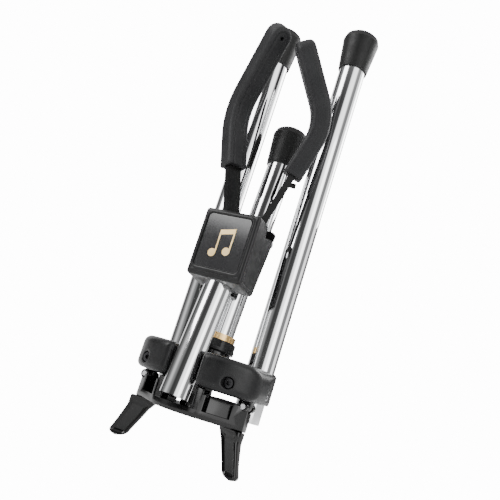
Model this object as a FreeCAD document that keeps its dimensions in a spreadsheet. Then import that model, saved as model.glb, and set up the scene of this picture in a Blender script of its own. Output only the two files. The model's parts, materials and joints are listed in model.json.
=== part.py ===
"""Folding saxophone stand, folded: chrome legs, plastic hub, hinged mast and padded yoke."""
import FreeCAD, Part
import math
import os
import Sketcher
from FreeCAD import Placement, Rotation, Vector

doc = FreeCAD.newDocument("saxophone_stand")
sheet = doc.addObject("Spreadsheet::Sheet", "Sizes")

# Driving dimensions in millimetres and degrees. Heights are measured from the mast's lower end
# and depths from the plane of the two side legs, before the frame shift moves the origin.
SIZES = {
    "shift_y": 30.04, "shift_z": 48.0,
    "tube_r": 12.5, "tube_wall": 1.5,
    "leg_x": 41.5, "leg_low_z": -3.2, "leg_len": 375.0,
    "foot_low_r": 13.9, "foot_top_r": 17.5, "foot_high": 40.5, "foot_round": 5.5, "foot_low_z": 340.6,
    "rear_y": -15.9, "rear_z": 45.8, "rear_tilt": 4.35, "rear_len": 218.4, "rear_foot_low": 186.0,
    "collar_r": 17.5, "collar_high": 9.8, "ring_r": 15.0, "ring_high": 5.6,
    "mast_y": -59.4, "mast_tilt": 8.3, "mast_len": 141.5, "mast_pin_z": 23.0, "mast_pin_r": 3.0,
    "tongue_half": 5.0, "tongue_r": 6.5, "mast_slot_half": 5.6, "mast_slot_high": 33.0,
    "knuckle_low": 13.6, "knuckle_high": 43.0, "knuckle_in": 13.5, "clamp_r": 16.0, "knuckle_round": 6.0,
    "knuckle_end": 61.0, "end_low_r": 9.0, "end_high_r": 12.0, "inner_corner": 5.0,
    "pivot_x": 50.0, "pivot_z": 9.2, "pivot_pin_r": 2.2, "lug_r": 4.0, "ear_front": -28.0, "ear_back": -20.0,
    "pin_front": -33.6, "pin_back": -15.4, "recess_x": 40.5, "recess_z": 23.5, "recess_r": 4.4,
    "bolt_head_r": 3.9, "bolt_r": 2.5, "bolt_seat_y": -49.0, "bolt_len": 22.0,
    "screw_y": -9.0, "screw_z": 21.0, "screw_r": 2.5, "screw_recess_r": 3.1,
    "floor_low": -11.0, "floor_high": -4.2, "cheek_high": 9.5, "cheek_in": 21.5, "cheek_out": 54.0,
    "rear_corner": 9.0, "pocket_in": 24.5, "pocket_out": 43.5, "pocket_deep": 9.0,
    "hub_back": -14.0, "hub_front_mid": -62.0, "hub_front_side": -54.5, "cheek_front_out": -29.6,
    "cheek_back_out": -21.0, "post_in": 14.0, "post_back": -42.0, "post_high": 12.9,
    "core_half": 10.0, "core_front": -28.3, "core_high": 42.5, "flange_r": 15.0,
    "prong_root_w": 20.0, "prong_root_d": 12.0, "prong_tip_w": 16.0, "prong_tip_d": 8.0, "prong_turn": 20.0,
    "prong_screw_x": 44.0, "prong_screw_y": -25.0, "prong_screw_r": 2.0, "prong_screw_len": 8.5,
    "block_half": 27.0, "block_front": -61.3, "block_low": 102.0, "block_high": 163.0,
    "block_back_low": -30.5, "block_back_low_z": 97.7, "block_back_high": -19.5, "block_back_high_z": 160.0,
    "block_round": 3.0, "badge_half": 21.6, "badge_low": 109.0, "badge_high": 158.0, "badge_sink": 1.6,
    "badge_crown": 2.6,
    "arm_turn": 28.0, "arm_lean": 8.8, "arm_x": 12.4, "arm_y": -34.0, "arm_z": 152.0,
    "arm_low_angle": 14.2, "arm_high_angle": 32.4, "arm_cross_angle": 34.6, "arm_low_len": 97.0, "arm_bend_r": 50.0,
    "arm_high_right": 55.8, "arm_high_left": 69.0, "bar_w": 14.0, "bar_t": 6.2, "eye_r": 5.5, "arm_pin_r": 2.5,
    "sleeve_w": 21.5, "sleeve_t": 18.0, "sleeve_from": 62.0, "sleeve_round": 4.5, "bar_short": 3.8, "tip_hole_r": 1.8,
    "arm_open": 50.0, "arm_reach": 7.2, "ear_y": -22.6, "ear_z": 149.5, "ear_r": 1.9,
    "running_gap": 0.05, "slack": 0.4,
}
for row, (alias, value) in enumerate(SIZES.items(), start=1):
    sheet.set(f"A{row}", alias)
    sheet.set(f"B{row}", str(value))
    sheet.setAlias(f"B{row}", alias)
doc.recompute()


class Values:
    """Reads the sheet's cells by alias."""

    def __getattr__(self, alias):
        return float(sheet.get(alias))


V = Values()
SHIFT = Placement(Vector(0, V.shift_y, V.shift_z), Rotation())
X_AXIS = Vector(1, 0, 0)
Y_AXIS = Vector(0, 1, 0)
Z_AXIS = Vector(0, 0, 1)
NODES = []


def node(obj, label, placement=None):
    """Names a finished sub-part and moves it into the stand's own frame."""
    obj.Label = label
    if placement is not None:
        obj.Placement = SHIFT.multiply(placement)
    NODES.append(obj)
    return obj


def feature(label, shape):
    """A sub-part whose shape is worked out here, in the working frame."""
    obj = doc.addObject("Part::Feature", label)
    obj.Shape = shape
    return node(obj, label, Placement())


def mirrored(source, label):
    """The other side's sub-part, mirrored in the plane x = 0."""
    obj = doc.addObject("Part::Mirroring", label)
    obj.Source = source
    obj.Base = Vector(0, 0, 0)
    obj.Normal = X_AXIS
    return node(obj, label)


def body_plane(body, role):
    """A body's own origin plane, found by its role."""
    return next(item for item in body.Origin.OriginFeatures if item.Role == role)


def new_sketch(body, name, role="XY_Plane"):
    sketch = body.newObject("Sketcher::SketchObject", name)
    sketch.AttachmentSupport = [(body_plane(body, role), "")]
    sketch.MapMode = "FlatFace"
    return sketch


def circle(sketch, radius):
    """A circle at the sketch's origin whose radius follows an expression."""
    index = sketch.addGeometry(Part.Circle(Vector(0, 0, 0), Z_AXIS, 5.0 + sketch.GeometryCount))
    sketch.addConstraint(Sketcher.Constraint("Coincident", index, 3, -1, 1))
    rule = sketch.addConstraint(Sketcher.Constraint("Radius", index, 5.0 + index))
    sketch.setExpression(f"Constraints[{rule}]", radius)


def ring_body(label, outer, inner, length, placement):
    """A padded ring or rod: circles on the body's XY plane, grown along its Z axis."""
    body = doc.addObject("PartDesign::Body", label)
    sketch = new_sketch(body, label + "_section")
    circle(sketch, outer)
    if inner:
        circle(sketch, inner)
    pad = body.newObject("PartDesign::Pad", label + "_pad")
    pad.Profile = sketch
    pad.setExpression("Length", length)
    return node(body, label, placement)


def turned_body(label, profile, placement):
    """A revolved piece: profile is a closed list of (radius, height) expressions."""
    body = doc.addObject("PartDesign::Body", label)
    sketch = new_sketch(body, label + "_profile", "XZ_Plane")
    count = len(profile)
    guess = [(float(sheet.evalExpression(r)), float(sheet.evalExpression(z))) for r, z in profile]
    for index in range(count):
        start = Vector(*guess[index], 0)
        end = Vector(*guess[(index + 1) % count], 0)
        sketch.addGeometry(Part.LineSegment(start, end))
    for index in range(count):
        sketch.addConstraint(Sketcher.Constraint("Coincident", index, 2, (index + 1) % count, 1))
    for index, (radius, height) in enumerate(profile):
        for kind, expression, place in (("DistanceX", radius, 0), ("DistanceY", height, 1)):
            value = guess[index][place]
            if value == 0.0:
                sketch.addConstraint(Sketcher.Constraint("PointOnObject", index, 1, -2 if place == 0 else -1))
                continue
            rule = sketch.addConstraint(Sketcher.Constraint(kind, -1, 1, index, 1, value))
            sketch.setExpression(f"Constraints[{rule}]", expression)
    turn = body.newObject("PartDesign::Revolution", label + "_turn")
    turn.Profile = sketch
    turn.ReferenceAxis = (sketch, ["V_Axis"])
    turn.Angle = 360
    return node(body, label, placement)


def at(x, y, z, axis=X_AXIS, angle=0.0):
    return Placement(Vector(x, y, z), Rotation(axis, angle))


def prism(points, direction, length):
    """A straight prism on a closed wire of points, extruded along a direction."""
    wire = Part.makePolygon(points + points[:1])
    return Part.Face(wire).extrude(direction * length)


def block(low, high):
    size = Vector(*high) - Vector(*low)
    return Part.makeBox(size.x, size.y, size.z, Vector(*low))


def rod(radius, start, direction, length):
    return Part.makeCylinder(radius, length, Vector(*start), direction)


def rounded(shape, radius, keep):
    """Fillets the edges that pass the test."""
    edges = [edge for edge in shape.Edges if keep(edge)]
    return shape.makeFillet(radius, edges)


# ---------------------------------------------------------------------------------------------
# Side legs: a chrome tube with a rubber foot, clamped in a moulded knuckle
# ---------------------------------------------------------------------------------------------

FOOT_PROFILE = [
    ("0", "Sizes.foot_high"),
    ("Sizes.foot_top_r * 0.55", "Sizes.foot_high"),
    ("Sizes.foot_top_r - Sizes.foot_round * 0.75", "Sizes.foot_high - 2.0"),
    ("Sizes.foot_top_r - Sizes.foot_round * 0.28", "Sizes.foot_high - Sizes.foot_round * 0.75"),
    ("Sizes.foot_top_r", "Sizes.foot_high - Sizes.foot_round * 1.6"),
    ("Sizes.foot_low_r + 0.35", "2.0"),
    ("Sizes.foot_low_r", "0"),
    ("Sizes.tube_r", "0"),
    ("Sizes.tube_r", "Sizes.foot_high - 8"),
    ("0", "Sizes.foot_high - 8"),
]


def side_leg():
    tube = ring_body("leg_tube_right", "Sizes.tube_r", "Sizes.tube_r - Sizes.tube_wall", "Sizes.leg_len",
                     at(V.leg_x, 0, V.leg_low_z))
    foot = turned_body("foot_right", FOOT_PROFILE, at(V.leg_x, 0, V.foot_low_z))
    return tube, foot


def knuckle_outline():
    """Plan view of the right knuckle: a curved front wall running back to the clamp round the leg."""
    points = [
        Vector(V.knuckle_in, -63.5, 0), Vector(36.0, -58.2, 0), Vector(54.0, -44.5, 0),
        Vector(61.2, -31.0, 0), Vector(60.3, -14.0, 0),
        Vector(V.leg_x + V.clamp_r, 0, 0), Vector(V.leg_x, V.clamp_r, 0), Vector(V.leg_x - V.clamp_r, 0, 0),
        Vector(V.leg_x - V.clamp_r, -9.0, 0), Vector(V.knuckle_in, -31.0, 0),
    ]
    edges = [
        Part.Arc(*points[0:3]).toShape(), Part.Arc(*points[2:5]).toShape(),
        Part.LineSegment(points[4], points[5]).toShape(), Part.Arc(*points[5:8]).toShape(),
        Part.LineSegment(points[7], points[8]).toShape(), Part.LineSegment(points[8], points[9]).toShape(),
        Part.LineSegment(points[9], points[0]).toShape(),
    ]
    return Part.Face(Part.Wire(edges))


def knuckle_front_view():
    """Front view of the right knuckle: flat inner face, full outer end, every corner softened."""
    corners = [
        (V.knuckle_end, V.knuckle_low, V.end_low_r, -1, 1), (V.knuckle_end, V.knuckle_high, V.end_high_r, -1, -1),
        (V.knuckle_in, V.knuckle_high, V.inner_corner, 1, -1), (V.knuckle_in, V.knuckle_low, V.inner_corner, 1, 1),
    ]
    slant = 1 - math.sqrt(0.5)
    edges = []
    ends = []
    for index, (x, z, radius, inward, upward) in enumerate(corners):
        beside = Vector(x + inward * radius, -80.0, z)
        above = Vector(x, -80.0, z + upward * radius)
        middle = Vector(x + inward * radius * slant, -80.0, z + upward * radius * slant)
        start, end = (beside, above) if index % 2 == 0 else (above, beside)
        edges.append(Part.Arc(start, middle, end).toShape())
        ends.append((start, end))
    joins = [Part.LineSegment(ends[index][1], ends[(index + 1) % 4][0]).toShape() for index in range(4)]
    return Part.Face(Part.Wire(Part.__sortEdges__(edges + joins)))


def knuckle():
    """The right knuckle: plan and front view crossed, with its bores and the ear it turns on."""
    plan = knuckle_outline().extrude(Z_AXIS * 60)
    front = knuckle_front_view().extrude(Y_AXIS * 120)
    shape = plan.common(front)
    shape = rounded(shape, V.knuckle_round, lambda edge: edge.BoundBox.YMax < -13 and edge.BoundBox.ZLength < 28
                    and edge.BoundBox.YLength > 12)
    ear_width = V.ear_back - V.ear_front
    ear_root = V.knuckle_low + 3.0
    ear = rod(V.lug_r, (V.pivot_x, V.ear_front, V.pivot_z), Y_AXIS, ear_width)
    ear = ear.fuse(block((V.pivot_x - V.lug_r, V.ear_front, V.pivot_z),
                         (V.pivot_x + V.lug_r, V.ear_back, ear_root)))
    shape = shape.fuse(ear)
    shape = shape.cut(rod(V.pivot_pin_r + V.running_gap, (V.pivot_x, V.ear_front - 1, V.pivot_z), Y_AXIS,
                          ear_width + 2))
    shape = shape.cut(rod(V.tube_r, (V.leg_x, 0, 0), Z_AXIS, 60))
    # Stepped bore for the bolt that pinches the clamp.
    seat = (V.recess_x, V.bolt_seat_y, V.recess_z)
    shape = shape.cut(rod(V.bolt_r, seat, Y_AXIS, V.bolt_len))
    shape = shape.cut(rod(V.recess_r, seat, Y_AXIS * -1, 30))
    # Bore for the screw that clamps the leg tube.
    shape = shape.cut(rod(V.screw_r, (V.leg_x + 5, V.screw_y, V.screw_z), X_AXIS, 30))
    shape = shape.cut(rod(V.screw_recess_r, (56.0, V.screw_y, V.screw_z), X_AXIS, 20))
    return feature("knuckle_right", shape.removeSplitter())


leg_tube, foot = side_leg()
knuckle_right = knuckle()
knuckle_bolt = turned_body("knuckle_bolt_right", [
    ("0", "0"), ("Sizes.bolt_r", "0"), ("Sizes.bolt_r", "Sizes.bolt_len"),
    ("Sizes.bolt_head_r", "Sizes.bolt_len"), ("Sizes.bolt_head_r", "Sizes.bolt_len + 3.6"),
    ("1.9", "Sizes.bolt_len + 3.6"), ("1.9", "Sizes.bolt_len + 1.4"), ("0", "Sizes.bolt_len + 1.4")],
    at(V.recess_x, V.bolt_seat_y + V.bolt_len, V.recess_z, X_AXIS, 90))
clamp_screw = turned_body("clamp_screw_right", [
    ("Sizes.screw_r", "0"), ("Sizes.screw_r", "6.0"), ("1.3", "6.0"), ("1.3", "3.6"), ("0", "3.6"), ("0", "0")],
    at(V.leg_x + 10.9, V.screw_y, V.screw_z, Y_AXIS, 90))
for source, label in ((leg_tube, "leg_tube_left"), (foot, "foot_left"), (knuckle_right, "knuckle_left"),
                      (knuckle_bolt, "knuckle_bolt_left"), (clamp_screw, "clamp_screw_left")):
    mirrored(source, label)


# ---------------------------------------------------------------------------------------------
# Hub: floor and cheeks, the core that carries the rear leg, arms for the knuckles, mast tongue
# ---------------------------------------------------------------------------------------------

REAR = at(0, V.rear_y, V.rear_z, X_AXIS, -V.rear_tilt)


def hub_floor(low, high):
    front = V.hub_front_side
    edges = [
        Part.Arc(Vector(-V.cheek_in, front, low), Vector(0, V.hub_front_mid, low),
                 Vector(V.cheek_in, front, low)).toShape(),
        Part.makePolygon([Vector(V.cheek_in, front, low), Vector(V.cheek_out, V.cheek_front_out, low),
                          Vector(V.cheek_out, V.cheek_back_out, low),
                          Vector(V.cheek_out - V.rear_corner, V.hub_back, low),
                          Vector(V.rear_corner - V.cheek_out, V.hub_back, low),
                          Vector(-V.cheek_out, V.cheek_back_out, low),
                          Vector(-V.cheek_out, V.cheek_front_out, low), Vector(-V.cheek_in, front, low)]),
    ]
    return Part.Face(Part.Wire(edges)).extrude(Z_AXIS * (high - low))


def cheek(side):
    points = [Vector(side * V.cheek_in, V.hub_front_side, V.floor_low),
              Vector(side * V.cheek_out, V.cheek_front_out, V.floor_low),
              Vector(side * V.cheek_out, V.cheek_back_out, V.floor_low),
              Vector(side * (V.cheek_out - V.rear_corner), V.hub_back, V.floor_low),
              Vector(side * V.cheek_in, V.hub_back, V.floor_low)]
    return prism(points, Z_AXIS, V.cheek_high - V.floor_low)


def cheek_pocket(side):
    """Open pocket in a cheek's front, between the post and the prong's corner."""
    slope = (V.cheek_front_out - V.hub_front_side) / (V.cheek_out - V.cheek_in)

    def pocket_back(x):
        return V.hub_front_side + (x - V.cheek_in) * slope + V.pocket_deep

    points = [Vector(side * V.pocket_in, -70, V.floor_high), Vector(side * V.pocket_out, -70, V.floor_high),
              Vector(side * V.pocket_out, pocket_back(V.pocket_out), V.floor_high),
              Vector(side * V.pocket_in, pocket_back(V.pocket_in), V.floor_high)]
    return prism(points, Z_AXIS, 30)


def prong_screw_rod(side, low, length):
    """Round rod on the line of the screw that holds one prong."""
    return rod(V.prong_screw_r, (side * V.prong_screw_x, V.prong_screw_y, low), Z_AXIS, length)


def hub_post(side):
    """The post beside the mast that one knuckle rests over."""
    low = (min(side * V.post_in, side * (V.cheek_in + 1)), V.hub_front_side + 1.0, V.floor_low)
    high = (max(side * V.post_in, side * (V.cheek_in + 1)), V.post_back, V.post_high)
    return rounded(block(low, high), 1.5, lambda edge: edge.BoundBox.ZLength > 5)


def lug(side, place):
    """One of the two lugs that hold a leg's pivot pin."""
    if place == "front":
        start, end = V.pin_front + 0.8, V.ear_front - V.slack
    else:
        start, end = V.ear_back + V.slack, V.pin_back + 0.4
    return rod(V.lug_r, (side * V.pivot_x, start, V.pivot_z), Y_AXIS, end - start)


def ear_room(side):
    """Space between the lugs for the knuckle's ear, open to the outside."""
    front = V.ear_front - V.slack
    depth = V.ear_back + V.slack - front
    reach = V.lug_r + V.slack
    room = rod(reach, (side * V.pivot_x, front, V.pivot_z), Y_AXIS, depth)
    low = (min(side * V.pivot_x, side * 60), front, V.pivot_z - reach)
    high = (max(side * V.pivot_x, side * 60), front + depth, V.pivot_z + 10)
    above = block((side * V.pivot_x - reach, front, V.pivot_z), (side * V.pivot_x + reach, front + depth, 20))
    return room.fuse([block(low, high), above])


def pivot_pin_rod(side):
    """Solid of one leg's pivot pin."""
    return rod(V.pivot_pin_r, (side * V.pivot_x, V.pin_front, V.pivot_z), Y_AXIS, V.pin_back - V.pin_front)


def hub():
    shape = hub_floor(V.floor_low, V.floor_high).fuse([cheek(1), cheek(-1)])
    shape = rounded(shape.removeSplitter(), 2.0, lambda edge: edge.BoundBox.ZLength > 14
                    and edge.BoundBox.YMax < -25 and abs(edge.CenterOfMass.x) > 50)
    shape = rounded(shape, 1.0, lambda edge: edge.BoundBox.ZMin > V.cheek_high - 0.1 and edge.BoundBox.YMin < -30)
    shape = rounded(shape, 1.5, lambda edge: edge.BoundBox.ZMax < V.floor_low + 0.1 and edge.BoundBox.YMin < -25)
    core = block((-V.core_half, V.core_front, V.floor_low), (V.core_half, V.hub_back, V.core_high))
    posts = [hub_post(side) for side in (1, -1)]
    shape = shape.fuse([lug(side, place) for side in (1, -1) for place in ("front", "back")])
    pin_y = V.mast_y + V.mast_pin_z * math.tan(math.radians(V.mast_tilt))
    tongue = block((-V.tongue_half, pin_y, V.mast_pin_z - V.tongue_r),
                   (V.tongue_half, V.core_front + 1, V.mast_pin_z + V.tongue_r))
    tip = rod(V.tongue_r, (-V.tongue_half, pin_y, V.mast_pin_z), X_AXIS, 2 * V.tongue_half)
    rear_axis = REAR.Rotation.multVec(Z_AXIS)
    base = REAR.Base
    flange = rod(V.flange_r, base - rear_axis * 4.0, rear_axis, 4.0)
    spigot = rod(V.tube_r - V.tube_wall - 0.1, base - rear_axis, rear_axis, 26)
    shape = shape.cut(cheek_pocket(1)).cut(cheek_pocket(-1))
    shape = shape.fuse([core, tongue, tip, flange, spigot] + posts)
    shape = shape.cut(rod(V.mast_pin_r + V.running_gap, (-10, pin_y, V.mast_pin_z), X_AXIS, 20))
    for side in (1, -1):
        shape = shape.cut(ear_room(side))
        shape = shape.cut(pivot_pin_rod(side))
        shape = shape.cut(prong_screw_rod(side, V.floor_low - 1, V.prong_screw_len + 1))
    return feature("hub", shape.removeSplitter())


def prong():
    """The right rest prong: a tapered finger lofted down and outwards, hollowed along its inner side."""

    def section(x, y, z, width, depth):
        corner = depth * 0.32
        face = Part.makePlane(width, depth, Vector(x - width / 2, y - depth / 2, z))
        face.rotate(Vector(x, y, z), Z_AXIS, -V.prong_turn)
        solid = face.extrude(Vector(0, 0, 0.5))
        solid = rounded(solid, corner, lambda edge: edge.BoundBox.ZLength > 0.4)
        outline = next(item for item in solid.Faces if abs(item.CenterOfMass.z - z) < 1e-6)
        return outline.OuterWire

    top = V.floor_low
    stations = [
        (44.6, -26.4, top, V.prong_root_w, V.prong_root_d),
        (47.6, -27.4, top - 11.0, V.prong_root_w - 1.4, V.prong_root_d - 1.4),
        (52.8, -29.4, top - 24.0, V.prong_tip_w + 0.8, V.prong_tip_d + 1.2),
        (56.9, -31.0, top - 33.0, V.prong_tip_w, V.prong_tip_d),
        (58.0, -31.5, top - 36.0, V.prong_tip_w - 4.0, V.prong_tip_d - 1.8),
        (58.3, -31.7, top - 37.0, V.prong_tip_w - 8.0, V.prong_tip_d - 4.0),
    ]
    shape = Part.makeLoft([section(*station) for station in stations], True, True)
    return feature("rest_prong_right", shape)


hub()
rest_prong = prong()
mirrored(rest_prong, "rest_prong_left")
ring_body("rear_leg_tube", "Sizes.tube_r", "Sizes.tube_r - Sizes.tube_wall", "Sizes.rear_len", REAR)
turned_body("rear_foot", FOOT_PROFILE, REAR.multiply(at(0, 0, V.rear_foot_low)))
ring_body("rear_ring", "Sizes.ring_r", "Sizes.tube_r", "Sizes.ring_high", REAR.multiply(at(0, 0, V.collar_high)))


def rear_collar():
    """Lock collar of the rear leg: eight shallow flats round its top."""
    shape = rod(V.collar_r, (0, 0, 0), Z_AXIS, V.collar_high).cut(rod(V.tube_r, (0, 0, 0), Z_AXIS, V.collar_high))
    shape = rounded(shape, 1.0, lambda edge: abs(edge.BoundBox.XLength - 2 * V.collar_r) < 0.01
                    and edge.BoundBox.ZLength < 0.01)
    for index in range(8):
        flat = block((V.collar_r - 0.8, -9, 3.5), (V.collar_r + 3, 9, V.collar_high + 1))
        flat.rotate(Vector(0, 0, 0), Z_AXIS, 22.5 + index * 45)
        shape = shape.cut(flat)
    obj = doc.addObject("Part::Feature", "rear_collar")
    obj.Shape = shape
    return node(obj, "rear_collar", REAR)


rear_collar()


def leg_pivot_pins():
    """The two pins that the knuckles turn on, pressed into the hub's lugs."""
    return feature("leg_pivot_pins", Part.makeCompound([pivot_pin_rod(1), pivot_pin_rod(-1)]))


leg_pivot_pins()


def prong_screws():
    """The screws that hold the prongs up against the hub's cheeks."""
    screws = [prong_screw_rod(side, V.floor_low, V.prong_screw_len) for side in (1, -1)]
    return feature("prong_screws", Part.makeCompound(screws))


prong_screws()

# ---------------------------------------------------------------------------------------------
# Mast: chrome tube hinged on the hub's tongue, with the yoke block at its top
# ---------------------------------------------------------------------------------------------

MAST = at(0, V.mast_y, 0, X_AXIS, -V.mast_tilt)
MAST_AXIS = MAST.Rotation.multVec(Z_AXIS)


def mast_tube():
    outer = rod(V.tube_r, (0, 0, 0), Z_AXIS, V.mast_len)
    inner = rod(V.tube_r - V.tube_wall, (0, 0, -1), Z_AXIS, V.mast_len + 2)
    pin_height = V.mast_pin_z / math.cos(math.radians(V.mast_tilt))
    slot = block((-V.mast_slot_half, 0, -1), (V.mast_slot_half, 20, V.mast_slot_high))
    pin = rod(V.mast_pin_r, (-20, 0, pin_height), X_AXIS, 40)
    obj = doc.addObject("Part::Feature", "mast_tube")
    obj.Shape = outer.cut(inner).cut(slot).cut(pin)
    return node(obj, "mast_tube", MAST)


mast_tube()
PIN_Y = V.mast_y + V.mast_pin_z * math.tan(math.radians(V.mast_tilt))
ring_body("mast_pin", "Sizes.mast_pin_r", None, "2 * Sizes.tube_r - 0.6",
          at(0.3 - V.tube_r, PIN_Y, V.mast_pin_z, Y_AXIS, 90))
turned_body("mast_plug", [
    ("0", "0"), ("Sizes.tube_r - Sizes.tube_wall", "0"), ("Sizes.tube_r - Sizes.tube_wall", "14"),
    ("Sizes.tube_r", "14"), ("Sizes.tube_r", "16"), ("0", "16")],
    MAST.multiply(at(0, 0, V.mast_len - 14)))


def arm_frame(side):
    """Axes of an arm's plane: s outwards, t upwards and q across the flat bar, with the pivot point."""
    turn = math.radians(V.arm_turn)
    lean = math.tan(math.radians(V.arm_lean))
    q = Vector(-side * math.sin(turn), math.cos(turn), lean)
    q.normalize()
    s = Vector(side * math.cos(turn), math.sin(turn), 0)
    t = s.cross(q) * side
    return Vector(side * V.arm_x, V.arm_y, V.arm_z), s, t, q


def pivot_axis():
    """The arms turn about lines that lean like the mast and lie in the plane of symmetry."""
    lean = math.radians(V.arm_lean)
    return Vector(0, math.cos(lean), math.sin(lean))


def arm_point(frame, s_value, t_value, q_value=0.0):
    pivot, s, t, q = frame
    return pivot + s * s_value + t * t_value + q * q_value


def high_angle(side):
    """How far an arm's upper straight leans inwards: the left one crosses over the right one's tip."""
    return math.radians(V.arm_high_angle if side > 0 else V.arm_cross_angle)


def arm_path(start, end_cut, side=1):
    """Straight, bend and straight of the arm's middle line in its plane, from a distance along it."""
    low = math.radians(V.arm_low_angle)
    high = high_angle(side)
    turn = low + high
    lead = V.arm_low_len
    radius = V.arm_bend_r
    first = (math.sin(low) * start, math.cos(low) * start)
    bend_in = (math.sin(low) * lead, math.cos(low) * lead)
    centre = (bend_in[0] - math.cos(low) * radius, bend_in[1] + math.sin(low) * radius)

    def on_bend(angle):
        heading = low - angle
        return (centre[0] + math.cos(heading) * radius, centre[1] - math.sin(heading) * radius)

    bend_out = on_bend(turn)
    length = (V.arm_high_right if side > 0 else V.arm_high_left) - end_cut
    last = (bend_out[0] - math.sin(high) * length, bend_out[1] + math.cos(high) * length)
    return first, bend_in, on_bend(turn / 2), bend_out, last


def tip_axes(side):
    """Direction of the arm's last straight, and the direction through its flat bar there."""
    frame = arm_frame(side)
    high = high_angle(side)
    along = frame[1] * -math.sin(high) + frame[2] * math.cos(high)
    through = frame[1] * math.cos(high) + frame[2] * math.sin(high)
    return along, through


def tip_centre(side, end_cut, width):
    """Centre of the half-round tip of a strip this wide."""
    frame = arm_frame(side)
    last = arm_path(0, end_cut, side)[4]
    return arm_point(frame, last[0], last[1]) - tip_axes(side)[0] * (width / 2)


def strip(side, start, end_cut, width, thickness):
    """A flat strip along the arm's path, wide across the arm's plane, with a half-round tip."""
    frame = arm_frame(side)
    first, bend_in, bend_mid, bend_out, last = arm_path(start, end_cut, side)
    half = thickness / 2
    low = math.radians(V.arm_low_angle)
    high = -high_angle(side)
    mid = (low + high) / 2

    def offset(point, heading, amount):
        return (point[0] + math.cos(heading) * amount, point[1] - math.sin(heading) * amount)

    def place(pair):
        return arm_point(frame, pair[0], pair[1], -width / 2)

    outer = [offset(p, h, half) for p, h in
             ((first, low), (bend_in, low), (bend_mid, mid), (bend_out, high), (last, high))]
    inner = [offset(p, h, -half) for p, h in
             ((first, low), (bend_in, low), (bend_mid, mid), (bend_out, high), (last, high))]
    edges = [
        Part.LineSegment(place(outer[0]), place(outer[1])).toShape(),
        Part.Arc(place(outer[1]), place(outer[2]), place(outer[3])).toShape(),
        Part.LineSegment(place(outer[3]), place(outer[4])).toShape(),
        Part.LineSegment(place(outer[4]), place(inner[4])).toShape(),
        Part.LineSegment(place(inner[4]), place(inner[3])).toShape(),
        Part.Arc(place(inner[3]), place(inner[2]), place(inner[1])).toShape(),
        Part.LineSegment(place(inner[1]), place(inner[0])).toShape(),
        Part.LineSegment(place(inner[0]), place(outer[0])).toShape(),
    ]
    shape = Part.Face(Part.Wire(edges)).extrude(frame[3] * width)
    along, through = tip_axes(side)
    centre = tip_centre(side, end_cut, width)
    corner = centre - frame[3] * width - through * thickness
    spare = prism([corner, corner + frame[3] * 2 * width, corner + frame[3] * 2 * width + along * width,
                   corner + along * width], through, 2 * thickness)
    return shape.cut(spare.cut(rod(width / 2, centre - through * thickness, through, 2 * thickness)))


def tip_hole(side):
    """Hole through the bar and its sleeve, at the middle of the round tip."""
    through = tip_axes(side)[1]
    return rod(V.tip_hole_r, tip_centre(side, 0.0, V.sleeve_w) - through * 20, through, 40)


def arm_bar(side):
    """Flat bar of one arm, with the eye it turns on."""
    frame = arm_frame(side)
    axis = pivot_axis()
    shape = strip(side, 0.0, V.bar_short, V.bar_w, V.bar_t)
    eye = rod(V.eye_r, frame[0] - axis * V.arm_reach, axis, 2 * V.arm_reach)
    shape = shape.fuse(eye)
    shape = shape.cut(rod(V.arm_pin_r + V.running_gap, frame[0] - axis * 20, axis, 40))
    return shape.cut(tip_hole(side)).removeSplitter()


def arm_tab():
    """Short stud on the right bar, just below its sleeve."""
    frame = arm_frame(1)
    root = arm_path(V.sleeve_from - 7.0, 0)[0]
    return rod(2.4, arm_point(frame, root[0] + 1, root[1], V.bar_w / 2 - 3), frame[1], 7.0)


def arm_sleeve(side):
    """Closed solid of one soft sleeve, with the bar's space cut out of it."""
    frame = arm_frame(side)
    shape = strip(side, V.sleeve_from, 0.0, V.sleeve_w, V.sleeve_t)
    entry = arm_point(frame, *arm_path(V.sleeve_from, 0, side)[0])
    low = math.radians(V.arm_low_angle)
    along = frame[1] * math.sin(low) + frame[2] * math.cos(low)

    shape = rounded(shape, V.sleeve_round, lambda edge: edge.Length > 15
                    and abs((edge.CenterOfMass - entry).dot(along)) > 4)
    shape = shape.cut(strip(side, V.sleeve_from - 2, V.bar_short, V.bar_w, V.bar_t))
    return shape.cut(tip_hole(side))


arm_bars = {side: arm_bar(side) for side in (1, -1)}
feature("arm_bar_right", arm_bars[1].fuse(arm_tab()).removeSplitter())
feature("arm_bar_left", arm_bars[-1])
feature("arm_sleeve_right", arm_sleeve(1))
feature("arm_sleeve_left", arm_sleeve(-1))


def pivot_pin(side):
    """Room taken by one arm's pivot pin, which is seated in the block's walls."""
    axis = pivot_axis()
    return rod(V.arm_pin_r, arm_frame(side)[0] - axis * 12, axis, 21)


def arm_pins():
    """The two pins that the arms turn on."""
    return feature("arm_pins", Part.makeCompound([pivot_pin(1), pivot_pin(-1)]))


arm_pins()


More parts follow.
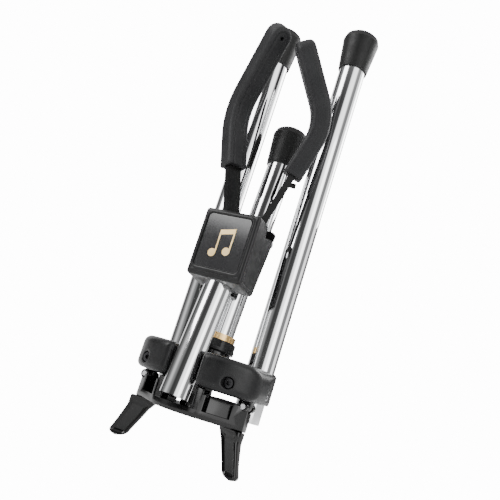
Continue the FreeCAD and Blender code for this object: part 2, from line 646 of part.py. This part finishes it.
def arm_slot(side):
    """The space in the block that an arm's foot and bar sweep from closed to open."""
    axis = pivot_axis()
    pivot = arm_frame(side)[0]
    outward = Vector(side, 0, 0)
    upward = outward.cross(axis) * side
    half_width = V.arm_reach + V.slack
    back = 2.0
    half = V.bar_t / 2 + V.bar_w / 2 * math.sin(math.radians(V.arm_turn)) + V.slack
    reach = 40.0
    closed = math.radians(V.arm_low_angle - 3.0)
    opened = math.radians(V.arm_low_angle + V.arm_open + 2.0)

    def corner(angle, along, offset):
        """A point along a direction this far from upright, and this far across it."""
        outer = math.sin(angle) * along + math.cos(angle) * offset
        upper = math.cos(angle) * along - math.sin(angle) * offset
        return pivot + outward * outer + upward * upper - axis * half_width

    points = [corner(closed, 0, -half), corner(closed, reach, -half), corner(opened, reach, half),
              corner(opened, 0, half)]
    sweep = prism(points, axis, 2 * half_width + back)
    eye = rod(V.eye_r + V.slack + 0.2, pivot - axis * half_width, axis, 2 * half_width)
    return sweep.fuse(eye)


def ear_screw(side, head):
    """A screw let into one of the block's ears, with a head of this height."""
    start = V.block_half - 2.5
    shank = rod(V.ear_r, (side * start, V.ear_y, V.ear_z), X_AXIS * -side, 4.5)
    if head == 0.0:
        return shank
    cap = rod(V.ear_r + 1.2, (side * start, V.ear_y, V.ear_z), X_AXIS * side, head)
    return shank.fuse(cap)


def block_blank():
    points = [Vector(-V.block_half, V.block_front, V.block_low), Vector(-V.block_half, V.block_front, V.block_high),
              Vector(-V.block_half, V.block_back_high, V.block_back_high_z),
              Vector(-V.block_half, V.block_back_low, V.block_back_low_z)]
    shape = prism(points, X_AXIS, 2 * V.block_half)
    return rounded(shape, V.block_round, lambda edge: True)


def yoke_block():
    shape = block_blank()
    bore_start = MAST.multVec(Vector(0, 0, 60))
    shape = shape.cut(rod(V.tube_r, bore_start, MAST_AXIS, V.mast_len + 2 - 60))
    for side in (1, -1):
        shape = shape.cut(arm_slot(side))
        shape = shape.cut(pivot_pin(side))
        shape = shape.cut(ear_screw(side, 0.0))
        shape = shape.cut(rod(V.ear_r + 1.5, (side * (V.block_half - 2.5), V.ear_y, V.ear_z), X_AXIS * side, 10))
    shape = shape.cut(badge_blank(0.0))
    # Cradle in the block's back for the rear leg when the stand is folded.
    rear_axis = REAR.Rotation.multVec(Z_AXIS)
    shape = shape.cut(rod(V.tube_r + 1.0, REAR.Base, rear_axis, 200))
    return feature("yoke_block", shape)


def badge_blank(crown):
    """The badge's plate: a rounded rectangle let into the block's front, with a raised crown."""
    low = (-V.badge_half, V.block_front - 0.02 - crown * 0.2, V.badge_low)
    high = (V.badge_half, V.block_front + V.badge_sink, V.badge_high)
    shape = block(low, high)
    return rounded(shape, 4.0, lambda edge: edge.BoundBox.YLength > 1.0)


def badge():
    shape = badge_blank(V.badge_crown)
    crown_y = V.block_front - V.badge_crown * 0.2
    front = [edge for edge in shape.Edges if edge.BoundBox.YMax < crown_y + 0.01]
    shape = shape.makeFillet(0.9, front)
    return feature("badge", shape)


def badge_emblem():
    """A generic pair of joined notes, raised on the badge."""
    deep = V.slack
    y = V.block_front - 0.02 - V.badge_crown * 0.2 - deep
    parts = []
    for x, z in ((-7.6, 123.0), (5.4, 126.0)):
        head = rod(3.6, (x, y, z), Y_AXIS, deep)
        stem = block((x + 2.2, y, z), (x + 3.6, y + deep, z + 21.0))
        parts += [head, stem]
    beam = prism([Vector(-5.4, y, 144.0), Vector(9.0, y, 147.0), Vector(9.0, y, 142.6), Vector(-5.4, y, 139.6)],
                 Y_AXIS, deep)
    return feature("badge_emblem", parts[0].fuse(parts[1:] + [beam]).removeSplitter())


yoke_block()
badge()
badge_emblem()


def ear_screws():
    """The screws in the ears at the block's back corners."""
    return feature("ear_screws", Part.makeCompound([ear_screw(side, 1.2) for side in (1, -1)]))


ear_screws()

# ---------------------------------------------------------------------------------------------
# Check every object, then write one file for each sub-part
# ---------------------------------------------------------------------------------------------

doc.recompute()
for obj in doc.Objects:
    if any(state in ("Invalid", "Error") for state in obj.State):
        raise RuntimeError(f"{obj.Label} did not compute: {obj.State}")
os.makedirs("parts", exist_ok=True)
for obj in NODES:
    if obj.Shape.isNull() or not obj.Shape.isValid():
        raise RuntimeError(f"{obj.Label} has no valid shape")
    obj.Shape.exportStep(f"parts/{obj.Label}.step")
print(len(NODES), "nodes written")
box = Part.makeCompound([obj.Shape for obj in NODES]).BoundBox
print("box", [round(size, 2) for size in (box.XMin, box.YMin, box.ZMin, box.XMax, box.YMax, box.ZMax)])
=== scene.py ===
"""Looks for the folded saxophone stand: chrome tubes, black mouldings, rubber feet and padded yoke arms."""
import json
import math

import bmesh
import bpy
from mathutils import Matrix, Vector


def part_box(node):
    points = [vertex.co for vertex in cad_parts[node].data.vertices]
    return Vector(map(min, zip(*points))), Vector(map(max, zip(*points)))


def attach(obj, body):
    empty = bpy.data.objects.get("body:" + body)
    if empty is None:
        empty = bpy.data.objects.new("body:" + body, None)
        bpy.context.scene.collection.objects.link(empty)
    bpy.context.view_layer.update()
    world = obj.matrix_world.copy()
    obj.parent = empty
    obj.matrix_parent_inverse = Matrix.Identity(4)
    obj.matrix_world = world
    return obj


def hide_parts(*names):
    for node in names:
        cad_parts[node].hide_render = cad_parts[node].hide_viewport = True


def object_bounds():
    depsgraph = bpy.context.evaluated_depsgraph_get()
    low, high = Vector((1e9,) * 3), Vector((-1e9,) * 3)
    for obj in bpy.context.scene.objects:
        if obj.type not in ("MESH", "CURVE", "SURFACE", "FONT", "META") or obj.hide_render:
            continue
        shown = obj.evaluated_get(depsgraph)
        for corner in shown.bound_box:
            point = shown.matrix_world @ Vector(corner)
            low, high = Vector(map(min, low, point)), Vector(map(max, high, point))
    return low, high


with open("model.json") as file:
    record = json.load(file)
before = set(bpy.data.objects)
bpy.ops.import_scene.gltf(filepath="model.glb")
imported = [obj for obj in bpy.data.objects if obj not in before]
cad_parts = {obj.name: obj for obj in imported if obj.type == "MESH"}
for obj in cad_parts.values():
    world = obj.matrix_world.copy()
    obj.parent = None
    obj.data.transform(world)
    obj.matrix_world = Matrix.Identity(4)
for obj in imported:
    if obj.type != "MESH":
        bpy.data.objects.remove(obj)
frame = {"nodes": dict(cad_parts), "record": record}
CAD_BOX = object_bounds()
MM = 0.001
NODES = frame["nodes"]
JOINTS = {joint["name"]: joint for joint in frame["record"]["behaviour"]["joints"]}
SIDES = {"right": 1, "left": -1}

# The arms and prongs, as the CAD builds them, in millimetres and degrees.
ARM_TURN = 28.0
ARM_LEAN = 8.8
ARM_HIGH_ANGLE = {"right": 32.4, "left": 34.6}
SLEEVE_WIDTH = 21.5
PRONG_TURN = 20.0

# Voxels that the softened pieces are remeshed with, and how far the knuckles are drawn in, in metres.
FINE_VOXEL = 0.0009
KNUCKLE_CLEARANCE = 0.0004

# Strength at which the backdrop and the floor show as white.
SEEN_WHITE = 14.0


# ---------------------------------------------------------------------------------------------
# Materials
# ---------------------------------------------------------------------------------------------

def set_values(shader, values):
    """Sets a node's own sockets by name."""
    for socket, value in values.items():
        shader.inputs[socket].default_value = value


def new_material(name, values):
    """A node material with its uniform values on the shader's own sockets."""
    material = bpy.data.materials.new(name)
    material.use_nodes = True
    nodes = material.node_tree.nodes
    shader = nodes["Principled BSDF"]
    set_values(shader, values)
    place = nodes.new("ShaderNodeTexCoord")
    return material, nodes, material.node_tree.links, shader, place


def noise(nodes, links, place, scale, detail=3.0, stretch=None):
    """Noise in object space; stretch squeezes it along the axes for brushed or drawn surfaces."""
    texture = nodes.new("ShaderNodeTexNoise")
    set_values(texture, {"Scale": scale, "Detail": detail})
    if stretch:
        mapping = nodes.new("ShaderNodeMapping")
        mapping.inputs["Scale"].default_value = stretch
        links.new(place.outputs["Object"], mapping.inputs["Vector"])
        links.new(mapping.outputs["Vector"], texture.inputs["Vector"])
    else:
        links.new(place.outputs["Object"], texture.inputs["Vector"])
    return texture


def ramp(nodes, links, source, stops):
    """A colour ramp fed by a factor: stops are (place, grey value or colour)."""
    node = nodes.new("ShaderNodeValToRGB")
    elements = node.color_ramp.elements
    while len(elements) < len(stops):
        elements.new(0.5)
    for element, (position, colour) in zip(elements, stops):
        element.position = position
        element.color = (colour, colour, colour, 1) if isinstance(colour, float) else (*colour, 1)
    links.new(source, node.inputs["Fac"])
    return node


def add_bump(nodes, links, shader, height, distance, strength=1.0):
    bump = nodes.new("ShaderNodeBump")
    set_values(bump, {"Distance": distance, "Strength": strength})
    links.new(height, bump.inputs["Height"])
    links.new(bump.outputs["Normal"], shader.inputs["Normal"])


def moulded(name, dark, light, smooth, rough, grain, depth, coat=0.0):
    """Moulded plastic or rubber: mottled colour, worn roughness and a fine grain."""
    values = {"Metallic": 0.0, "IOR": 1.45, "Specular IOR Level": 0.3, "Coat Weight": coat,
              "Coat Roughness": 0.12}
    material, nodes, links, shader, place = new_material(name, values)
    cloud = noise(nodes, links, place, 45.0, 5.0)
    tint = ramp(nodes, links, cloud.outputs["Fac"], [(0.35, dark), (0.7, light)])
    links.new(tint.outputs["Color"], shader.inputs["Base Color"])
    patches = noise(nodes, links, place, 160.0, 6.0)
    wear = ramp(nodes, links, patches.outputs["Fac"], [(0.3, smooth), (0.75, rough)])
    links.new(wear.outputs["Color"], shader.inputs["Roughness"])
    add_bump(nodes, links, shader, noise(nodes, links, place, grain, 2.0).outputs["Fac"], depth)
    return material


def metal(name, low, high, smooth, rough, grain, depth, stretch):
    """Plated or drawn metal: near-even colour, faint streaks in its roughness and surface."""
    material, nodes, links, shader, place = new_material(name, {"Metallic": 1.0})
    cloud = noise(nodes, links, place, 30.0, 4.0, stretch)
    tint = ramp(nodes, links, cloud.outputs["Fac"], [(0.3, low), (0.7, high)])
    links.new(tint.outputs["Color"], shader.inputs["Base Color"])
    streaks = noise(nodes, links, place, 220.0, 4.0, stretch)
    wear = ramp(nodes, links, streaks.outputs["Fac"], [(0.35, smooth), (0.7, rough)])
    links.new(wear.outputs["Color"], shader.inputs["Roughness"])
    add_bump(nodes, links, shader, noise(nodes, links, place, grain, 2.0, stretch).outputs["Fac"], depth)
    return material


ALONG_TUBE = (1.0, 1.0, 0.06)
ALONG_PIN = (1.0, 1.0, 0.2)
EVEN = (1.0, 1.0, 1.0)

# For each slot: darkest and lightest colour, smoothest and roughest patch, grain scale, grain depth in
# metres, and then the clear coat of a moulding or the streaks' stretch of a metal.
MATERIALS = {
    "chrome_tube": metal(
        "chrome", (0.74, 0.745, 0.755), (0.86, 0.865, 0.87), 0.03, 0.10, 90.0, 0.00001, ALONG_TUBE),
    "foot_rubber": moulded(
        "foot_rubber", (0.004, 0.004, 0.004), (0.008, 0.008, 0.008), 0.42, 0.58, 2600.0, 0.00003),
    "sleeve_rubber": moulded(
        "sleeve_rubber", (0.009, 0.009, 0.010), (0.016, 0.016, 0.017), 0.48, 0.62, 1900.0, 0.00004),
    "brass_ring": metal(
        "brass", (0.66, 0.43, 0.17), (0.74, 0.50, 0.22), 0.26, 0.34, 500.0, 0.000005, EVEN),
    "badge_gloss": moulded(
        "badge_resin", (0.012, 0.012, 0.013), (0.018, 0.018, 0.019), 0.08, 0.14, 600.0, 0.000002, 0.6),
    "emblem_gold": metal(
        "gold_print", (0.60, 0.42, 0.18), (0.78, 0.60, 0.32), 0.30, 0.42, 1500.0, 0.00001, EVEN),
    "hub_plastic": moulded(
        "gloss_plastic", (0.0015, 0.0015, 0.0016), (0.0035, 0.0035, 0.0036), 0.10, 0.20, 900.0, 0.000004,
        0.3),
    "joint_plastic": moulded(
        "matte_plastic", (0.006, 0.006, 0.0065), (0.011, 0.011, 0.0115), 0.28, 0.40, 2300.0, 0.00001),
    "black_bar": moulded(
        "powder_coat", (0.003, 0.003, 0.003), (0.006, 0.006, 0.006), 0.30, 0.42, 1700.0, 0.00002),
    # Steel of the knuckle bolts, darkened to paint the shade of the deep recesses the bolt heads sit in.
    "dark_steel": metal(
        "painted_recess_shade_steel", (0.030, 0.030, 0.032), (0.060, 0.060, 0.063), 0.30, 0.42, 900.0, 0.000005, EVEN),
    "bright_steel": metal(
        "zinc_steel", (0.52, 0.52, 0.53), (0.70, 0.70, 0.71), 0.20, 0.36, 900.0, 0.00001, ALONG_PIN),
}


def dress(piece, slot):
    """Gives a piece its slot's material."""
    piece.data.materials.clear()
    piece.data.materials.append(MATERIALS[slot])


for entry in frame["record"]["subparts"]:
    carried = NODES[entry["node"]]
    for holder in carried.material_slots:
        holder.material = MATERIALS[entry["material_slot"]]


# ---------------------------------------------------------------------------------------------
# Mesh helpers
# ---------------------------------------------------------------------------------------------

def link_piece(name, mesh, slot, body):
    """A visual piece with its material, riding on its body."""
    piece = bpy.data.objects.new(name, mesh)
    bpy.context.scene.collection.objects.link(piece)
    dress(piece, slot)
    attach(piece, body)
    return piece


def apply_modifiers(piece):
    """Turns the piece's modifiers into mesh."""
    graph = bpy.context.evaluated_depsgraph_get()
    mesh = bpy.data.meshes.new_from_object(piece.evaluated_get(graph))
    piece.modifiers.clear()
    piece.data = mesh


def shade_by_angle(mesh, degrees):
    """Smooth faces with hard edges wherever the surface turns by more than this."""
    work = bmesh.new()
    work.from_mesh(mesh)
    for face in work.faces:
        face.smooth = True
    for edge in work.edges:
        edge.smooth = len(edge.link_faces) == 2 and edge.calc_face_angle(0.0) < math.radians(degrees)
    work.to_mesh(mesh)
    work.free()


def welded_copy(node):
    """A new mesh from a CAD node, with its split corners joined and its flat faces made whole."""
    mesh = NODES[node].data.copy()
    work = bmesh.new()
    work.from_mesh(mesh)
    bmesh.ops.remove_doubles(work, verts=work.verts, dist=0.00001)
    bmesh.ops.dissolve_limit(work, angle_limit=math.radians(0.5), verts=work.verts, edges=work.edges)
    work.to_mesh(mesh)
    work.free()
    return mesh


def press_in(mesh, depth_at):
    """Moves each vertex inwards along its normal, by the depth that its place calls for."""
    normals = [vertex.normal.copy() for vertex in mesh.vertices]
    for vertex, normal in zip(mesh.vertices, normals):
        vertex.co -= normal * depth_at(vertex.co)


def softened(name, node, slot, body, voxel, passes, draw_in=0.0):
    """A CAD moulding remeshed, relaxed and drawn in a little, so that its corners melt into curves."""
    piece = link_piece(name, welded_copy(node), slot, body)
    remesh = piece.modifiers.new("remesh", "REMESH")
    remesh.mode = "VOXEL"
    remesh.voxel_size = voxel
    relax = piece.modifiers.new("relax", "SMOOTH")
    relax.factor = 0.5
    relax.iterations = passes
    apply_modifiers(piece)
    press_in(piece.data, lambda point: draw_in)
    shade_by_angle(piece.data, 70)
    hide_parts(node)
    return piece


def eased(name, node, slot, body, width):
    """A CAD moulding with its sharp corners eased, as a mould leaves them."""
    piece = link_piece(name, welded_copy(node), slot, body)
    bevel = piece.modifiers.new("ease", "BEVEL")
    bevel.width = width
    bevel.segments = 2
    bevel.limit_method = "ANGLE"
    bevel.angle_limit = math.radians(38)
    bevel.use_clamp_overlap = True
    apply_modifiers(piece)
    shade_by_angle(piece.data, 35)
    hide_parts(node)
    return piece


# ---------------------------------------------------------------------------------------------
# Padded sleeves
# ---------------------------------------------------------------------------------------------

def arm_axes(side):
    """Pivot and axes of an arm: outwards, upwards in the arm's plane, and across the flat bar."""
    sign = SIDES[side]
    turn = math.radians(ARM_TURN)
    across = Vector((-sign * math.sin(turn), math.cos(turn), math.tan(math.radians(ARM_LEAN)))).normalized()
    outward = Vector((sign * math.cos(turn), math.sin(turn), 0))
    upward = outward.cross(across) * sign
    pivot = Vector(JOINTS[f"arm_{side}_hinge"]["pos_m"])
    return pivot, outward, upward, across


def sleeve(side):
    """Soft sleeve: remeshed and relaxed, with the sunk line that runs round inside its wide faces."""
    piece = softened(f"sleeve_{side}", f"arm_sleeve_{side}", "sleeve_rubber", f"arm_{side}", FINE_VOXEL, 6)
    pivot, outward, upward, across = arm_axes(side)
    high = math.radians(ARM_HIGH_ANGLE[side])
    along = outward * -math.sin(high) + upward * math.cos(high)
    radius = SLEEVE_WIDTH / 2 * MM
    reach = max((vertex.co - pivot).dot(along) for vertex in piece.data.vertices)
    tip_level = reach - radius
    groove_in = 5.0 * MM
    groove_wide = 0.9 * MM
    groove_deep = 0.55 * MM

    def groove(point):
        place = point - pivot
        q = place.dot(across)
        beyond = place.dot(along) - tip_level
        inset = radius - math.hypot(q, beyond) if beyond > 0 else radius - abs(q)
        return groove_deep * math.exp(-((inset - groove_in) / groove_wide) ** 2)

    press_in(piece.data, groove)
    return piece


for side in SIDES:
    sleeve(side)


# ---------------------------------------------------------------------------------------------
# Rest prongs: troughs with raised rims, lofted from root to tip
# ---------------------------------------------------------------------------------------------

def loft(name, rings, slot, body):
    """Closed mesh through rings of equal point count, capped at both ends."""
    work = bmesh.new()
    rows = [[work.verts.new(point) for point in ring] for ring in rings]
    count = len(rings[0])
    for low, high in zip(rows, rows[1:]):
        for index in range(count):
            following = (index + 1) % count
            work.faces.new((low[index], low[following], high[following], high[index]))
    work.faces.new(rows[0])
    work.faces.new(list(reversed(rows[-1])))
    bmesh.ops.recalc_face_normals(work, faces=work.faces)
    mesh = bpy.data.meshes.new(name)
    work.to_mesh(mesh)
    work.free()
    return link_piece(name, mesh, slot, body)


def smooth_step(low, high, value):
    """Eased rise from 0 at low to 1 at high; low may be the larger of the two."""
    part = min(max((value - low) / (high - low), 0.0), 1.0)
    return part * part * (3 - 2 * part)


def prong(side):
    """One prong between its CAD root and tip, with a hollow front and a rim along each edge."""
    node = f"rest_prong_{side}"
    sign = SIDES[side]
    low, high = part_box(node)
    height = high.z - low.z
    root_x, root_in = 44.6 * MM, 9.6 * MM
    tip_x, tip_forward = 58.3 * MM, 5.2 * MM
    half_root, flare, taper = 12.2, 2.6, 1.3
    half_deep, thinning = 5.8, 1.9
    tip_start, blunt = 0.86, 0.45
    turn = math.radians(PRONG_TURN)
    wide = Vector((sign * math.cos(turn), -math.sin(turn), 0))
    deep = Vector((sign * math.sin(turn), math.cos(turn), 0))
    root = Vector((sign * root_x, high.y - root_in, high.z))
    tip = Vector((sign * tip_x, root.y - tip_forward, low.z))
    rings = []
    steps = 36
    for step in range(steps + 1):
        part = step / steps
        bow = part ** 1.15
        centre = Vector((root.x + (tip.x - root.x) * bow, root.y + (tip.y - root.y) * part,
                         root.z - height * part))
        width = (half_root - flare * smooth_step(0, 0.28, part) - taper * smooth_step(0.2, 0.85, part)) * MM
        thick = (half_deep - thinning * smooth_step(0, 0.7, part)) * MM
        tail = max(0.0, (part - tip_start) / (1 - tip_start))
        rounding = math.sqrt(max(1.0 - tail ** 2, 0.02))
        deepness = thick * (blunt + (1 - blunt) * rounding)
        rings.append(prong_ring(centre, wide * width * rounding, deep * deepness, part))
    piece = loft(f"prong_{side}", rings, "hub_plastic", "base")
    shade_by_angle(piece.data, 50)
    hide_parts(node)
    return piece


def prong_ring(centre, wide, deep, part):
    """Section of a prong: rounded back, sunk front between two rims."""
    points = []
    count = 48
    squareness = 0.55
    hollow = 0.55 * smooth_step(0.02, 0.2, part) * (1 - smooth_step(0.86, 0.97, part))
    for index in range(count):
        angle = 2 * math.pi * index / count
        cosine, sine = math.cos(angle), math.sin(angle)
        across = math.copysign(abs(cosine) ** squareness, cosine)
        back = math.copysign(abs(sine) ** squareness, sine)
        if back < 0:
            back += hollow * smooth_step(0.86, 0.55, abs(across))
        points.append(centre + wide * across + deep * back)
    return points


for side in SIDES:
    prong(side)


# ---------------------------------------------------------------------------------------------
# Mouldings with eased or softened corners, and the badge's frame
# ---------------------------------------------------------------------------------------------

eased("hub_moulding", "hub", "hub_plastic", "base", 0.0006)
eased("yoke_moulding", "yoke_block", "joint_plastic", "mast", 0.0003)
for side in SIDES:
    softened(f"knuckle_moulding_{side}", f"knuckle_{side}", "joint_plastic", f"leg_{side}", FINE_VOXEL, 14,
             KNUCKLE_CLEARANCE)


def badge_frame():
    """Bevelled frame standing proud round the badge: each profile point is how far out and how deep."""
    badge_low, badge_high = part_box("badge")
    middle = (badge_low + badge_high) / 2
    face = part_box("yoke_block")[0].y
    half = Vector(((badge_high.x - badge_low.x) / 2, 0, (badge_high.z - badge_low.z) / 2))
    corner = 4.0 * MM
    profile = [(0.15, 0.4), (0.15, -0.9), (0.9, -1.3), (2.0, -1.2), (3.4, 0.3), (3.4, 0.6)]
    rings = []
    for spread, depth in profile:
        grow = spread * MM
        level = face + depth * MM
        rings.append(rounded_rectangle(middle, half.x + grow, half.z + grow, corner + grow, level))
    work = bmesh.new()
    rows = [[work.verts.new(point) for point in ring] for ring in rings]
    count = len(rings[0])
    for near, far in zip(rows, rows[1:] + rows[:1]):
        for index in range(count):
            following = (index + 1) % count
            work.faces.new((near[index], near[following], far[following], far[index]))
    bmesh.ops.recalc_face_normals(work, faces=work.faces)
    mesh = bpy.data.meshes.new("badge_frame")
    work.to_mesh(mesh)
    work.free()
    piece = link_piece("badge_frame", mesh, "joint_plastic", "mast")
    shade_by_angle(piece.data, 50)
    return piece


def rounded_rectangle(middle, half_x, half_z, radius, y):
    """Points round an upright rectangle with round corners, in the plane at this depth."""
    points = []
    corner_steps = 10
    for corner, (sx, sz) in enumerate(((1, 1), (-1, 1), (-1, -1), (1, -1))):
        for step in range(corner_steps + 1):
            angle = math.radians(90 * corner + 90 * step / corner_steps)
            points.append(Vector((middle.x + sx * (half_x - radius) + radius * math.cos(angle), y,
                                  middle.z + sz * (half_z - radius) + radius * math.sin(angle))))
    return points


badge_frame()


# ---------------------------------------------------------------------------------------------
# Stage, light and camera
# ---------------------------------------------------------------------------------------------

def floor():
    """Plain pale floor that reads as white paper to the camera and bounces a little light."""
    mesh = bpy.data.meshes.new("floor")
    reach = 6.0
    clearance = 0.5 * MM
    level = CAD_BOX[0].z - clearance
    corners = [(-reach, -reach, level), (reach, -reach, level), (reach, reach, level), (-reach, reach, level)]
    mesh.from_pydata(corners, [], [(0, 1, 2, 3)])
    plane = bpy.data.objects.new("floor", mesh)
    bpy.context.scene.collection.objects.link(plane)
    values = {"Base Color": (0.85, 0.85, 0.85, 1), "Roughness": 0.9}
    material, nodes, links, shader, _ = new_material("floor", values)
    paper = nodes.new("ShaderNodeEmission")
    paper.inputs["Strength"].default_value = SEEN_WHITE
    path = nodes.new("ShaderNodeLightPath")
    choose = nodes.new("ShaderNodeMixShader")
    links.new(path.outputs["Is Camera Ray"], choose.inputs["Fac"])
    links.new(shader.outputs[0], choose.inputs[1])
    links.new(paper.outputs[0], choose.inputs[2])
    links.new(choose.outputs[0], nodes["Material Output"].inputs["Surface"])
    mesh.materials.append(material)


def studio():
    """Studio surroundings: white to the camera, and soft bright and dark panels round the object."""
    world = bpy.data.worlds.new("studio")
    bpy.context.scene.world = world
    world.use_nodes = True
    nodes = world.node_tree.nodes
    links = world.node_tree.links
    nodes.clear()
    place = nodes.new("ShaderNodeTexCoord")
    split = nodes.new("ShaderNodeSeparateXYZ")
    links.new(place.outputs["Generated"], split.inputs["Vector"])
    turn = nodes.new("ShaderNodeMath")
    turn.operation = "ARCTAN2"
    links.new(split.outputs["Y"], turn.inputs[0])
    links.new(split.outputs["X"], turn.inputs[1])
    spread = nodes.new("ShaderNodeMapRange")
    set_values(spread, {"From Min": -math.pi, "From Max": math.pi})
    links.new(turn.outputs[0], spread.inputs["Value"])
    # Bearing of each panel in degrees from +X towards +Y, and how bright it is.
    panels = [(-180, 0.03), (-160, 0.08), (-135, 0.30), (-112, 0.10), (-92, 0.02), (-66, 0.03),
              (-52, 0.90), (-26, 1.00), (-8, 0.12), (14, 0.10), (26, 0.70), (42, 0.70), (54, 0.10),
              (110, 0.02), (140, 0.50), (158, 0.45), (170, 0.03)]
    stops = [((angle + 180) / 360, value) for angle, value in panels]
    bands = ramp(nodes, links, spread.outputs["Result"], stops)
    bands.color_ramp.interpolation = "EASE"
    rise = nodes.new("ShaderNodeMapRange")
    set_values(rise, {"From Min": 0.45, "From Max": 0.95})
    links.new(split.outputs["Z"], rise.inputs["Value"])
    mix = nodes.new("ShaderNodeMix")
    mix.data_type = "RGBA"
    mix.inputs["B"].default_value = (0.5, 0.5, 0.5, 1)
    links.new(rise.outputs["Result"], mix.inputs["Factor"])
    links.new(bands.outputs["Color"], mix.inputs["A"])
    around = nodes.new("ShaderNodeBackground")
    around.inputs["Strength"].default_value = 3.0
    links.new(mix.outputs["Result"], around.inputs["Color"])
    behind = nodes.new("ShaderNodeBackground")
    behind.inputs["Color"].default_value = (1, 1, 1, 1)
    behind.inputs["Strength"].default_value = SEEN_WHITE
    path = nodes.new("ShaderNodeLightPath")
    choose = nodes.new("ShaderNodeMixShader")
    links.new(path.outputs["Is Camera Ray"], choose.inputs["Fac"])
    links.new(around.outputs[0], choose.inputs[1])
    links.new(behind.outputs[0], choose.inputs[2])
    output = nodes.new("ShaderNodeOutputWorld")
    links.new(choose.outputs[0], output.inputs["Surface"])


def softbox(name, place, aim, size, power):
    """A rectangular soft light at a place, turned towards its aim."""
    data = bpy.data.lights.new(name, "AREA")
    data.shape = "RECTANGLE"
    data.size, data.size_y = size
    data.energy = power
    lamp = bpy.data.objects.new(name, data)
    bpy.context.scene.collection.objects.link(lamp)
    lamp.location = place
    lamp.rotation_mode = "QUATERNION"
    lamp.rotation_quaternion = (Vector(aim) - Vector(place)).to_track_quat("-Z", "Y")


def camera():
    """Camera low in front and to the right, tilted, so that the stand leans in the frame."""
    data = bpy.data.cameras.new("camera")
    data.sensor_width = 36.0
    data.lens = 45.72
    view = bpy.data.objects.new("camera", data)
    bpy.context.scene.collection.objects.link(view)
    forward = Vector((-0.4455, 0.8726, 0.2003))
    right = Vector((0.8754, 0.3778, 0.3015))
    up = right.cross(forward)
    turn = Matrix((right, up, -forward)).transposed().to_4x4()
    view.matrix_world = Matrix.Translation(Vector((0.2617, -0.49196, 0.0743))) @ turn
    bpy.context.scene.camera = view


floor()
studio()
middle = (CAD_BOX[0] + CAD_BOX[1]) / 2
softbox("key", (-0.7, -0.9, 0.9), middle, (0.7, 0.9), 16.0)
softbox("fill", (1.1, -0.5, 0.35), middle, (0.5, 0.9), 3.0)
softbox("rim", (0.5, 0.9, 0.8), middle, (0.6, 0.6), 10.0)
camera()
